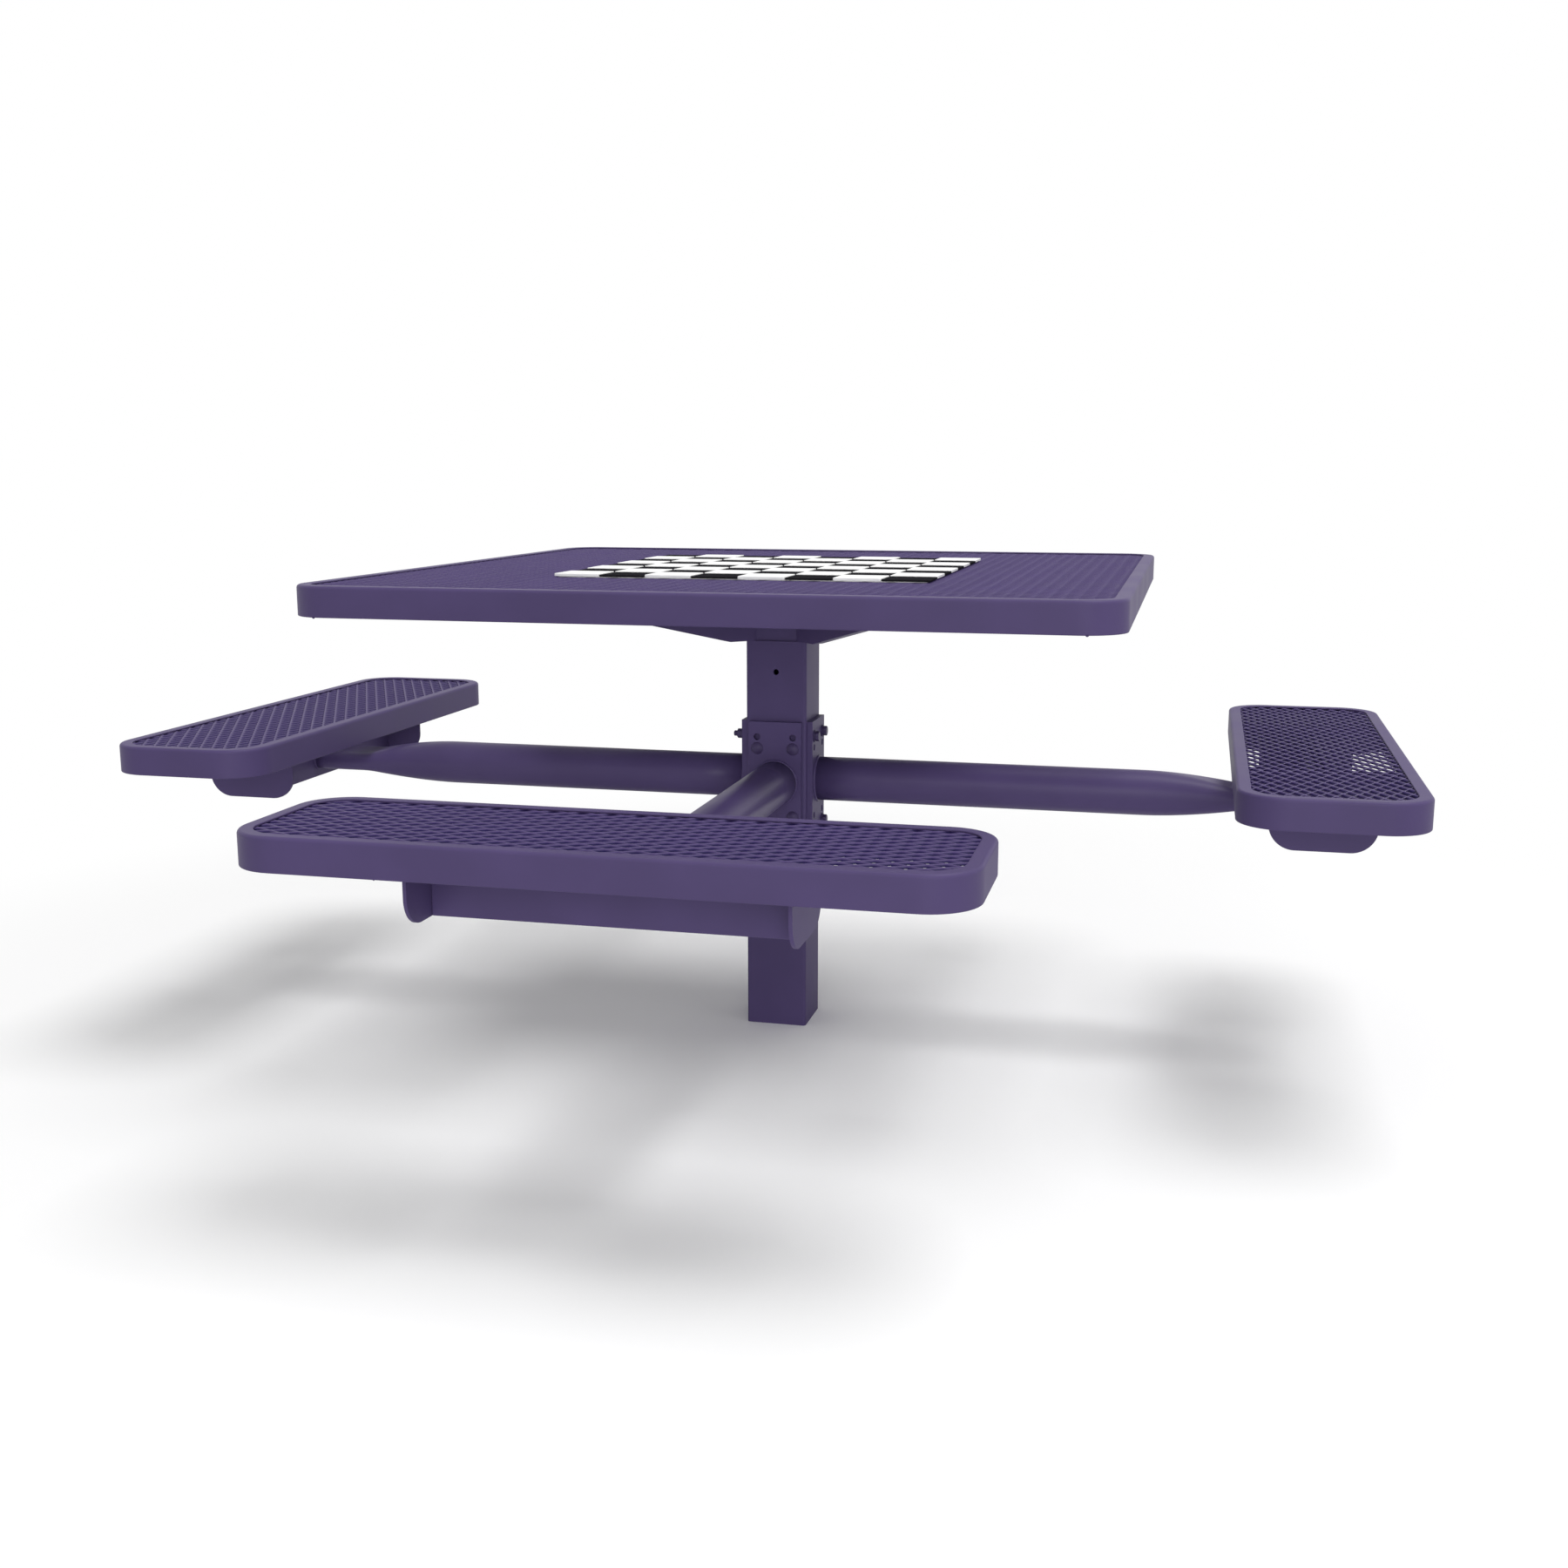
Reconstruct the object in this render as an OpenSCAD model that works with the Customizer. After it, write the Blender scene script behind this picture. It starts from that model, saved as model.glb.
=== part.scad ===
// Pedestal picnic table: a square expanded-metal top with a game board, and three
// expanded-metal benches on flattened tube arms that bolt round one square post.
// Millimetres, +Z up. The origin is on the ground at the centre of the post.
// +X points to the right bench and -Y to the front bench. The rear side stays open.

/* [Table top] */
// Side of the square top
top_w = 1168.4; // [1000:0.1:1250]
// Height of the top's surface above the ground
table_h = 771.5; // [760:0.1:860]
// Depth of the top's rim
top_rim_h = 44.5; // [38:0.1:60]
// Outer corner radius of the top
top_corner_r = 62; // [25:0.5:90]

/* [Benches] */
// Length of a bench
seat_l = 907.5; // [760:0.1:1100]
// Width of a bench
seat_w = 254; // [230:0.1:300]
// Height of the bench surface above the ground
seat_h = 507; // [430:0.1:530]
// Depth of a bench rim
seat_rim_h = 44.5; // [38:0.1:55]
// Outer corner radius of a bench
seat_corner_r = 65; // [40:0.5:80]
// Distance from the post's axis to a bench's outer edge
seat_reach = 984; // [960:0.1:1100]

/* [Rims and mesh] */
// Width of the flat border that a rim shows from above
flange_w = 19.5; // [16:0.1:24]
// Outside bend radius of a rim's top edge
edge_r = 5; // [3.5:0.1:7]
// Thickness of the coated rim sheet
sheet_t = 2.4; // [2:0.1:3]
// Thickness of the coated mesh
mesh_t = 3; // [2.5:0.1:4]
// Pitch of the diamonds along their long axis
diamond_l = 39; // [36:0.1:50]
// Pitch of the diamonds along their short axis
diamond_w = 19.5; // [18:0.1:25]
// Width of a coated strand
strand_w = 3.6; // [2.5:0.1:5]
// Gap between a mesh sheet's edge and the rim's bend
mesh_clear = 0.3; // [0.2:0.05:0.5]
// How many times coarser a bench's mesh is drawn than the real one
bench_coarse = 1; // [1:0.1:3]
// How many times coarser the top's mesh is drawn than the real one
top_coarse = 2; // [2:0.1:4]

/* [Game board] */
// Side of one square of the board
square_w = 72.5; // [60:0.1:85]
// Thickness of a dark square
dark_t = 3; // [2:0.1:8]
// Thickness of a white square
white_t = 4.2; // [2:0.1:8]
// Gap between neighbouring squares
square_gap = 0.4; // [0.2:0.1:1]
// Corner bevel of a square
square_bevel = 1.6; // [1:0.1:4]
// Thickness of the sheet under the squares
base_t = 1.5; // [1:0.1:3]
// How far that sheet stops short of the squares' outer edge
base_inset = 6; // [3:0.5:15]

/* [Post] */
// Side of the square post
post_w = 101.6; // [96:0.1:120]
// Wall of the post
post_wall = 3.2; // [2.5:0.1:5]
// Outside corner radius of the post
post_r = 5; // [4:0.1:8]
// Diameter of the lock hole near the post's top
lock_hole_d = 9.5; // [6:0.1:12]
// Distance of the lock hole below the post's top
lock_hole_drop = 50.7; // [35:0.1:70]

/* [Hub] */
// Distance from a bench's surface down to the axis of the arms
arm_drop = 87; // [80:0.1:110]
// Width of a hub plate
plate_w = 88.9; // [86:0.1:96]
// Height of a hub plate
plate_h = 203.2; // [190:0.1:230]
// Thickness of a hub plate
plate_t = 9.5; // [6:0.1:13]
// Spacing of the two bolt columns
bolt_col = 60.4; // [56:0.1:66]
// Spacing of the outer bolt rows, for the bolts that run sideways
row_outer = 152.4; // [148:0.1:165]
// Spacing of the inner bolt rows, for the bolts that run front to back
row_inner = 114.3; // [108:0.1:120]
// Diameter of a bolt hole
hole_d = 11.1; // [10.5:0.1:13]

/* [Arms] */
// Outside diameter of an arm's tube
tube_d = 73; // [65:0.1:78]
// Wall of an arm's tube
tube_wall = 3.2; // [2.5:0.1:4]
// Thickness of the flattened end
flat_t = 31.75; // [26:0.05:40]
// Length over which the tube goes from round to flat
squeeze_l = 152.4; // [120:0.1:190]
// How late the flattening sets in: 1 is a straight taper
squeeze_curve = 1.8; // [1.2:0.1:2.5]
// Length of the flattened end
flat_l = 101.6; // [80:0.1:130]

/* [Bench supports] */
// Width of the folded channel under a bench
bar_w = 19; // [16:0.1:30]
// Sheet thickness of the channel
bar_wall = 3.2; // [2.5:0.1:4.5]
// How far the channel reaches below the arm's axis
bar_drop = 30; // [26:0.1:36]
// Distance between the outer faces of a bench's two brackets
bracket_span = 479; // [400:0.1:560]
// Thickness of a bracket
bracket_t = 4.8; // [3:0.1:6.5]
// Width of a bracket
bracket_w = 152.4; // [140:0.1:180]
// Radius of a bracket's two lower corners
bracket_r = 38.1; // [25:0.1:45]
// Depth of the ledge that a bracket has under the strap
ledge_l = 42; // [36:0.5:46]
// Width of a strap under the mesh
strap_w = 50.8; // [48:0.1:60]
// Thickness of a strap
strap_t = 4.8; // [4:0.1:7]
// Spacing of a strap's two studs
stud_span = 110; // [90:0.5:120]

/* [Top support] */
// Distance between the post's top and the table's surface
support_h = 117.5; // [105:0.1:135]
// Wall of the sleeve
sleeve_wall = 3.2; // [2.5:0.1:4]
// Gap on each side between the sleeve and the post
sleeve_clear = 0.7; // [0.3:0.05:1]
// Width of a wing
wing_w = 19; // [16:0.1:26]
// Sheet thickness of a wing
wing_wall = 3.2; // [2.5:0.1:4.5]
// Distance from the post's axis at which a wing's underside starts to rise
wing_rise_r = 106; // [95:0.5:140]
// Distance from the post's axis to a wing's tip
wing_tip_r = 480; // [420:0.5:540]
// Depth of a wing at its tip
wing_tip_h = 12.5; // [8:0.1:30]
// Width of a brace under the top
brace_w = 82; // [80:0.1:95]
// Thickness of a brace
brace_t = 6.35; // [4:0.05:9.5]
// Thickness of the tab on a wing's tip
tab_t = 4.8; // [3:0.1:6.5]
// Length of the tab on a wing's tip
tab_l = 40; // [36:0.5:50]
// Width of the tab on a wing's tip
tab_w = 76; // [74:0.5:80]
// Spacing of a tab's two studs
tab_span = 54; // [50:0.5:58]

/* [Fasteners] */
// Shank diameter of bolts and studs
bolt_d = 9.5; // [8:0.1:10]
// Width across the flats of heads and nuts
hex_af = 14.3; // [13:0.1:17]
// Height of a bolt head
head_h = 6.4; // [5:0.1:8]
// Height of a nut
nut_h = 8.3; // [6:0.1:10]
// Diameter of a washer
washer_d = 20; // [19:0.1:24]
// Thickness of a washer
washer_t = 2; // [1.2:0.1:3]
// Diameter of a domed head
dome_d = 20.6; // [18:0.1:23]
// Height of a domed head
dome_h = 4.8; // [3.5:0.1:6]
// How far a bolt stands out past its nut
bolt_end = 6.5; // [3:0.1:10]
// Gap all round between a thread and its nut
thread_clear = 0.15; // [0.1:0.01:0.3]

/* [Hidden] */
$fn = 64;

coating = "#4d4270";
coating_light = "#6a5f8c";

// Turn that takes a piece made for the right bench to each bench, and a wing to the rear right
right_turn = 0;
front_turn = -90;
left_turn = 180;
wing_turn = 45;

// Heights of the table's layers, from the surface down
top_mesh_z = table_h - sheet_t;
brace_z = top_mesh_z - mesh_t - brace_t;
tab_z = brace_z - tab_t;
post_h = table_h - support_h;
wing_tip_z = tab_z - wing_tip_h;

// Heights of a bench's layers, from the surface down
seat_mesh_z = seat_h - sheet_t;
strap_z = seat_mesh_z - mesh_t - strap_t;
ledge_z = strap_z - bracket_t;
arm_z = seat_h - arm_drop;
bar_z = arm_z - bar_drop;

// Distances from the post's axis towards a bench
plate_face = post_w / 2 + plate_t;
seat_x = seat_reach - seat_w / 2;
arm_end = seat_x - bar_w / 2;
squeeze_end = arm_end - flat_l;
squeeze_start = squeeze_end - squeeze_l;

// Places of the studs and of the braces
strap_y = bracket_span / 2 - strap_w / 2;
tab_r = wing_tip_r - tab_l / 2;
brace_x = tab_r * cos(wing_turn);
sleeve_w = post_w - 2 * post_wall - 2 * sleeve_clear;
stud_grip = bracket_t + washer_t + nut_h + bolt_end;
tab_grip = tab_t + washer_t + nut_h + bolt_end;
bolt_grip = plate_face + washer_t;
lock_z = post_h - lock_hole_drop;
// The sleeve ends halfway between the top bolts and the lock hole
sleeve_z = (arm_z + row_outer / 2 + bolt_d / 2 + lock_z) / 2;
eps = 0.01;
// How far a cut runs past the faces that it opens, and a stud into its strap
cut = 1;
// Squares along a side of the board
squares = 8;

// Places of one set of four bolts, for a given spacing of the rows
function bolt_places(rows) = [for (c = [-1, 1], r = [-1, 1]) [c * bolt_col / 2, r * rows / 2]];

// Places of the four studs of a bench, and of the eight studs of the top
function seat_studs() = [for (x = [-1, 1], y = [-1, 1]) [seat_x + x * stud_span / 2, y * strap_y]];
function tab_studs() = [
    for (turn = [wing_turn:90:360], y = [-tab_span / 2, tab_span / 2])
        [tab_r * cos(turn) - y * sin(turn), tab_r * sin(turn) + y * cos(turn)]
];

// A rectangle with true round corners
module round_rect(w, l, r) {
    square([w - 2 * r, l], center = true);
    square([w, l - 2 * r], center = true);
    for (x = [-1, 1], y = [-1, 1])
        translate([x * (w / 2 - r), y * (l / 2 - r)]) circle(r);
}

// A square tube standing on z = 0
module square_tube(w, wall, r, h) {
    linear_extrude(h)
        difference() {
            round_rect(w, w, r);
            round_rect(w - 2 * wall, w - 2 * wall, r - wall / 2);
        }
}

// The block under a bent edge: its outer corner is at the origin and it goes down and to the left
module bend_block(w, h, r) {
    translate([-w, -h]) square([w - r, h]);
    translate([-w, -h]) square([w, h - r]);
    translate([-r, -r]) circle(r);
}

// Section of a rim: a wall that bends over into a flat border
module rim_section(h) {
    difference() {
        bend_block(flange_w, h, edge_r);
        translate([-sheet_t, -sheet_t]) bend_block(flange_w + eps, h + eps, edge_r - sheet_t);
    }
}

module rim_side(l, h) {
    rotate([90, 0, 0]) linear_extrude(l, center = true) rim_section(h);
}

module rim_corner(r, h) {
    rotate_extrude(angle = 90) translate([r, 0]) rim_section(h);
}

// A rim: four straight stretches and four turned corners, with its surface at z = 0
module rim(w, l, r, h) {
    for (turn = [0, 180]) rotate(turn) {
        translate([w / 2, 0]) rim_side(l - 2 * r, h);
        rotate(90) translate([l / 2, 0]) rim_side(w - 2 * r, h);
        translate([w / 2 - r, l / 2 - r]) rim_corner(r, h);
        translate([r - w / 2, l / 2 - r]) rotate(90) rim_corner(r, h);
    }
}

// True where a point lies inside a rounded rectangle
function inside(p, w, l, r) =
    let (dx = abs(p.x) - (w / 2 - r), dy = abs(p.y) - (l / 2 - r))
        max(dx, dy) <= r && (dx < 0 || dy < 0 || norm([dx, dy]) <= r);

// Centres of the whole diamonds that fit, in rows that are half a pitch apart
function diamond_centres(w, l, r, pw, pl, dw, dl) =
    let (nw = ceil(w / pw), nl = ceil(l / pl))
        [for (i = [-nw:nw], j = [-nl:nl])
            let (c = [i * pw / 2, j * pl / 2])
                if ((i + j) % 2 == 0 && inside(c + [dw, 0], w, l, r) && inside(c - [dw, 0], w, l, r)
                    && inside(c + [0, dl], w, l, r) && inside(c - [0, dl], w, l, r)) c];

// Expanded-metal sheet with its upper face at z = 0 and its diamonds' long axis along Y.
// It stops short of the rim's bend, and its pitches put whole half diamonds between its edges.
module mesh_sheet(w, l, r, coarse) {
    sw = w - 2 * edge_r - 2 * mesh_clear;
    sl = l - 2 * edge_r - 2 * mesh_clear;
    sr = r - edge_r - mesh_clear;
    strand = strand_w * coarse;
    pw = sw / round(sw / (diamond_w * coarse));
    pl = sl / round(sl / (diamond_l * coarse));
    slant = strand / 2 * norm([pw, pl]);
    dw = pw / 2 - slant / pl;
    dl = pl / 2 - slant / pw;
    translate([0, 0, -mesh_t]) linear_extrude(mesh_t) difference() {
        round_rect(sw, sl, sr);
        for (c = diamond_centres(sw - strand, sl - strand, sr - strand / 2, pw, pl, dw, dl))
            polygon([c + [dw, 0], c + [0, dl], c - [dw, 0], c - [0, dl]]);
    }
}

// Section of the tube: two half circles with flats between them, whose girth stays that of the
// round tube. Its sides touch the true curve from outside, so it keeps the full size.
function tube_ring(t, x, wall, n = 16) =
    let (half = PI * (tube_d - t) / 4, r = (t / 2 - wall) / cos(90 / n))
        [for (side = [1, -1], k = [0:n - 1])
            let (a = -90 + 180 * (k + 0.5) / n)
                [x, side * (half + r * cos(a)), arm_z + side * r * sin(a)]];

// Thickness of the tube along an arm: it leaves the round slowly and ends at the press's edge
function tube_t(x) =
    let (u = max(0, min(1, (x - squeeze_start) / squeeze_l)))
        tube_d + (flat_t - tube_d) * pow(u, squeeze_curve);

// The tube of an arm, open inside from the hub plate to the bench's channel
module arm_tube(rings = 10) {
    xs = concat([plate_face], [for (k = [0:rings]) squeeze_start + squeeze_l * k / rings], [arm_end]);
    ns = len(xs);
    outer = [for (x = xs) tube_ring(tube_t(x), x, 0)];
    inner = [for (x = xs) tube_ring(tube_t(x), x, tube_wall)];
    m = len(outer[0]);
    points = concat([for (ring = outer) each ring], [for (ring = inner) each ring]);
    function at(shell, i, k) = (shell * ns + i) * m + k % m;
    // Two triangles between the corners a, b, c, d of a quad
    function quad(a, b, c, d) = [[a, b, c], [a, c, d]];
    faces = concat(
        [for (i = [0:ns - 2], k = [0:m - 1]) each
            quad(at(0, i, k), at(0, i, k + 1), at(0, i + 1, k + 1), at(0, i + 1, k))],
        [for (i = [0:ns - 2], k = [0:m - 1]) each
            quad(at(1, i, k), at(1, i + 1, k), at(1, i + 1, k + 1), at(1, i, k + 1))],
        [for (k = [0:m - 1]) each quad(at(0, 0, k), at(1, 0, k), at(1, 0, k + 1), at(0, 0, k + 1))],
        [for (e = ns - 1, k = [0:m - 1]) each
            quad(at(0, e, k), at(0, e, k + 1), at(1, e, k + 1), at(1, e, k))]
    );
    polyhedron(points, faces);
}

// A hub plate on the right face of the post, with all eight bolt holes
module hub_plate() {
    difference() {
        translate([post_w / 2, -plate_w / 2, arm_z - plate_h / 2]) cube([plate_t, plate_w, plate_h]);
        for (rows = [row_inner, row_outer]) bolt_holes(rows);
    }
}

// Copies what follows along X at each bolt of a set
module at_bolts(rows) {
    for (p = bolt_places(rows)) translate([0, p.x, arm_z + p.y]) rotate([0, 90, 0]) children();
}

// Holes of one set of bolts, right through the post and its plates
module bolt_holes(rows) {
    at_bolts(rows) cylinder(d = hole_d, h = 2 * post_w, center = true);
}

module hex(h) {
    cylinder(d = hex_af / cos(30), h = h, $fn = 6);
}

module nut() {
    difference() {
        hex(nut_h);
        translate([0, 0, -cut]) cylinder(d = bolt_d + 2 * thread_clear, h = nut_h + 2 * cut, $fn = 32);
    }
}

module washer() {
    difference() {
        cylinder(d = washer_d, h = washer_t, $fn = 32);
        translate([0, 0, -cut]) cylinder(d = hole_d, h = washer_t + 2 * cut, $fn = 32);
    }
}

// Hex bolt right through the hub: its head is at +X and its end stands out of the nut at -X
module through_bolt() {
    translate([0, 0, bolt_grip]) hex(head_h);
    translate([0, 0, -bolt_grip - nut_h - bolt_end])
        cylinder(d = bolt_d, h = 2 * bolt_grip + nut_h + bolt_end, $fn = 32);
}

// Round-headed bolt right through the hub, whose head lies on the plate with no washer
module dome_bolt() {
    dome_r = (dome_d * dome_d / 4 + dome_h * dome_h) / (2 * dome_h);
    translate([0, 0, plate_face])
        intersection() {
            translate([0, 0, dome_h - dome_r]) sphere(dome_r);
            cylinder(d = dome_d + cut, h = dome_h + cut);
        }
    translate([0, 0, -bolt_grip - nut_h - bolt_end])
        cylinder(d = bolt_d, h = plate_face + bolt_grip + nut_h + bolt_end, $fn = 32);
}

// Folded channel under a bench, open at its top
module seat_bar() {
    l = bracket_span - 2 * bracket_t;
    difference() {
        translate([seat_x - bar_w / 2, -l / 2, bar_z]) cube([bar_w, l, ledge_z - bar_z]);
        translate([seat_x - bar_w / 2 + bar_wall, -l / 2 - cut, bar_z + bar_wall])
            cube([bar_w - 2 * bar_wall, l + 2 * cut, ledge_z - bar_z]);
    }
}

// Bracket at the far end of a bench's channel: a round-cornered plate with a ledge at its top
module seat_bracket() {
    y = bracket_span / 2;
    translate([seat_x, y, bar_z]) rotate([90, 0, 0]) linear_extrude(bracket_t) {
        translate([-bracket_w / 2, bracket_r]) square([bracket_w, strap_z - bar_z - bracket_r]);
        translate([-bracket_w / 2 + bracket_r, 0]) square([bracket_w - 2 * bracket_r, bracket_r + cut]);
        for (x = [-1, 1]) translate([x * (bracket_w / 2 - bracket_r), bracket_r]) circle(bracket_r);
    }
    difference() {
        translate([seat_x - bracket_w / 2, y - bracket_t / 2 - ledge_l, ledge_z])
            cube([bracket_w, ledge_l, bracket_t]);
        for (p = seat_studs())
            translate([p.x, p.y, ledge_z - cut]) cylinder(d = hole_d, h = bracket_t + 2 * cut);
    }
}

// Strap across the far end of a bench, under the mesh, with two studs that point down
module seat_strap() {
    inner_w = seat_w - 2 * sheet_t;
    translate([seat_x - inner_w / 2, strap_y - strap_w / 2, strap_z]) cube([inner_w, strap_w, strap_t]);
    for (p = seat_studs()) if (p.y > 0)
        translate([p.x, p.y, strap_z - stud_grip]) cylinder(d = bolt_d, h = stud_grip + cut, $fn = 32);
}

module seat_washer_set() {
    for (p = seat_studs()) translate([p.x, p.y, ledge_z - washer_t]) washer();
}

module seat_nut_set() {
    for (p = seat_studs()) translate([p.x, p.y, ledge_z - washer_t - nut_h]) nut();
}

module seat_rim() {
    translate([seat_x, 0, seat_h]) rim(seat_w, seat_l, seat_corner_r, seat_rim_h);
}

module seat_mesh() {
    translate([seat_x, 0, seat_mesh_z]) mesh_sheet(seat_w, seat_l, seat_corner_r, bench_coarse);
}

// Side view of a wing, from the post's axis outwards, drawn in by a wall's thickness
module wing_side(wall, top) {
    slope = (wing_tip_z - post_h) / (wing_tip_r - wing_rise_r);
    polygon([
        [0, post_h + wall], [wing_rise_r, post_h + wall],
        [wing_tip_r - wall, post_h + wall + slope * (wing_tip_r - wall - wing_rise_r)],
        [wing_tip_r - wall, top], [0, top]
    ]);
}

// A wing along +X: a folded channel, open at its top, that rises from the post to a tab with two holes.
// Its inner end is cut to the sleeve's corner.
module wing() {
    difference() {
        union() {
            difference() {
                rotate([90, 0, 0]) linear_extrude(wing_w, center = true) wing_side(0, tab_z + eps);
                rotate([90, 0, 0]) linear_extrude(wing_w - 2 * wing_wall, center = true)
                    wing_side(wing_wall, tab_z + cut);
            }
            translate([wing_tip_r - tab_l, -tab_w / 2, tab_z]) cube([tab_l, tab_w, tab_t]);
        }
        translate([0, 0, post_h - cut]) rotate(wing_turn) linear_extrude(support_h)
            round_rect(sleeve_w, sleeve_w, post_r);
        for (side = [-1, 1])
            translate([tab_r, side * tab_span / 2, tab_z - cut])
                cylinder(d = hole_d, h = tab_t + 2 * cut);
    }
}

// Brace under the right half of the top, with four studs that point down
module brace() {
    l = top_w - 2 * sheet_t;
    translate([brace_x - brace_w / 2, -l / 2, brace_z]) cube([brace_w, l, brace_t]);
    for (p = tab_studs()) if (p.x > 0)
        translate([p.x, p.y, brace_z - tab_grip]) cylinder(d = bolt_d, h = tab_grip + cut, $fn = 32);
}

// One square of the game board, standing on z = 0
module board_square(t) {
    s = (square_w - square_gap) / 2;
    b = s - square_bevel;
    linear_extrude(t) polygon([[s, b], [b, s], [-b, s], [-s, b], [-s, -b], [-b, -s], [b, -s], [s, -b]]);
}

// The squares of one colour: an even or odd sum of row and column
module board_squares(odd, t) {
    mid = (squares - 1) / 2;
    for (i = [0:squares - 1], j = [0:squares - 1]) if ((i + j) % 2 == odd)
        translate([(i - mid) * square_w, (j - mid) * square_w, top_mesh_z + base_t]) board_square(t);
}

module post() {
    color(coating) difference() {
        square_tube(post_w, post_wall, post_r, post_h);
        bolt_holes(row_outer);
        rotate(front_turn) bolt_holes(row_inner);
        lock_hole();
    }
}

module lock_hole() {
    translate([0, 0, lock_z]) rotate([90, 0, 0])
        cylinder(d = lock_hole_d, h = 2 * post_w, center = true);
}

module mount_sleeve() {
    color(coating) difference() {
        translate([0, 0, sleeve_z]) square_tube(sleeve_w, sleeve_wall, post_r, tab_z - sleeve_z);
        lock_hole();
    }
}

module wing_rear_right() { color(coating) rotate(wing_turn) wing(); }
module wing_rear_left() { color(coating) rotate(wing_turn + 90) wing(); }
module wing_front_left() { color(coating) rotate(wing_turn + 180) wing(); }
module wing_front_right() { color(coating) rotate(wing_turn + 270) wing(); }

module table_rim() { color(coating) translate([0, 0, table_h]) rim(top_w, top_w, top_corner_r, top_rim_h); }
module table_mesh() {
    color(coating_light) translate([0, 0, top_mesh_z]) rotate(90)
        mesh_sheet(top_w, top_w, top_corner_r, top_coarse);
}
module table_brace_right() { color(coating) brace(); }
module table_brace_left() { color(coating) rotate(180) brace(); }
module table_nuts() {
    color(coating) for (p = tab_studs()) translate([p.x, p.y, tab_z - washer_t - nut_h]) nut();
}
module table_washers() {
    color(coating) for (p = tab_studs()) translate([p.x, p.y, tab_z - washer_t]) washer();
}

module board_base() {
    w = squares * square_w - 2 * base_inset;
    color("white") translate([-w / 2, -w / 2, top_mesh_z]) cube([w, w, base_t]);
}
module white_squares() { color("white") board_squares(0, white_t); }
module dark_squares() { color("#2a2a2e") board_squares(1, dark_t); }

module hub_plate_right() { color(coating) rotate(right_turn) hub_plate(); }
module hub_plate_left() { color(coating) rotate(left_turn) hub_plate(); }
module hub_plate_front() { color(coating) rotate(front_turn) hub_plate(); }
module hub_plate_rear() { color(coating) rotate(-front_turn) hub_plate(); }

module arm_right() { color(coating) rotate(right_turn) arm_tube(); }
module arm_left() { color(coating) rotate(left_turn) arm_tube(); }
module arm_front() { color(coating) rotate(front_turn) arm_tube(); }

module side_bolts() { color(coating) at_bolts(row_outer) through_bolt(); }
module side_nuts() { color(coating) at_bolts(row_outer) translate([0, 0, -bolt_grip - nut_h]) nut(); }
module side_washers() {
    color(coating) at_bolts(row_outer) for (z = [plate_face, -bolt_grip]) translate([0, 0, z]) washer();
}
module cross_bolts() { color(coating) rotate(front_turn) at_bolts(row_inner) dome_bolt(); }
module cross_nuts() {
    color(coating) rotate(front_turn) at_bolts(row_inner) translate([0, 0, -bolt_grip - nut_h]) nut();
}
module cross_washers() {
    color(coating) rotate(front_turn) at_bolts(row_inner) translate([0, 0, -bolt_grip]) washer();
}

module right_seat_rim() { color(coating) rotate(right_turn) seat_rim(); }
module right_seat_mesh() { color(coating_light) rotate(right_turn) seat_mesh(); }
module right_seat_bar() { color(coating) rotate(right_turn) seat_bar(); }
module right_seat_rear_bracket() { color(coating) rotate(right_turn) seat_bracket(); }
module right_seat_front_bracket() { color(coating) rotate(right_turn) mirror([0, 1, 0]) seat_bracket(); }
module right_seat_rear_strap() { color(coating) rotate(right_turn) seat_strap(); }
module right_seat_front_strap() { color(coating) rotate(right_turn) mirror([0, 1, 0]) seat_strap(); }
module right_seat_washers() { color(coating) rotate(right_turn) seat_washer_set(); }
module right_seat_nuts() { color(coating) rotate(right_turn) seat_nut_set(); }

module left_seat_rim() { color(coating) rotate(left_turn) seat_rim(); }
module left_seat_mesh() { color(coating_light) rotate(left_turn) seat_mesh(); }
module left_seat_bar() { color(coating) rotate(left_turn) seat_bar(); }
module left_seat_front_bracket() { color(coating) rotate(left_turn) seat_bracket(); }
module left_seat_rear_bracket() { color(coating) rotate(left_turn) mirror([0, 1, 0]) seat_bracket(); }
module left_seat_front_strap() { color(coating) rotate(left_turn) seat_strap(); }
module left_seat_rear_strap() { color(coating) rotate(left_turn) mirror([0, 1, 0]) seat_strap(); }
module left_seat_washers() { color(coating) rotate(left_turn) seat_washer_set(); }
module left_seat_nuts() { color(coating) rotate(left_turn) seat_nut_set(); }

module front_seat_rim() { color(coating) rotate(front_turn) seat_rim(); }
module front_seat_mesh() { color(coating_light) rotate(front_turn) seat_mesh(); }
module front_seat_bar() { color(coating) rotate(front_turn) seat_bar(); }
module front_seat_right_bracket() { color(coating) rotate(front_turn) seat_bracket(); }
module front_seat_left_bracket() { color(coating) rotate(front_turn) mirror([0, 1, 0]) seat_bracket(); }
module front_seat_right_strap() { color(coating) rotate(front_turn) seat_strap(); }
module front_seat_left_strap() { color(coating) rotate(front_turn) mirror([0, 1, 0]) seat_strap(); }
module front_seat_washers() { color(coating) rotate(front_turn) seat_washer_set(); }
module front_seat_nuts() { color(coating) rotate(front_turn) seat_nut_set(); }

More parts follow.
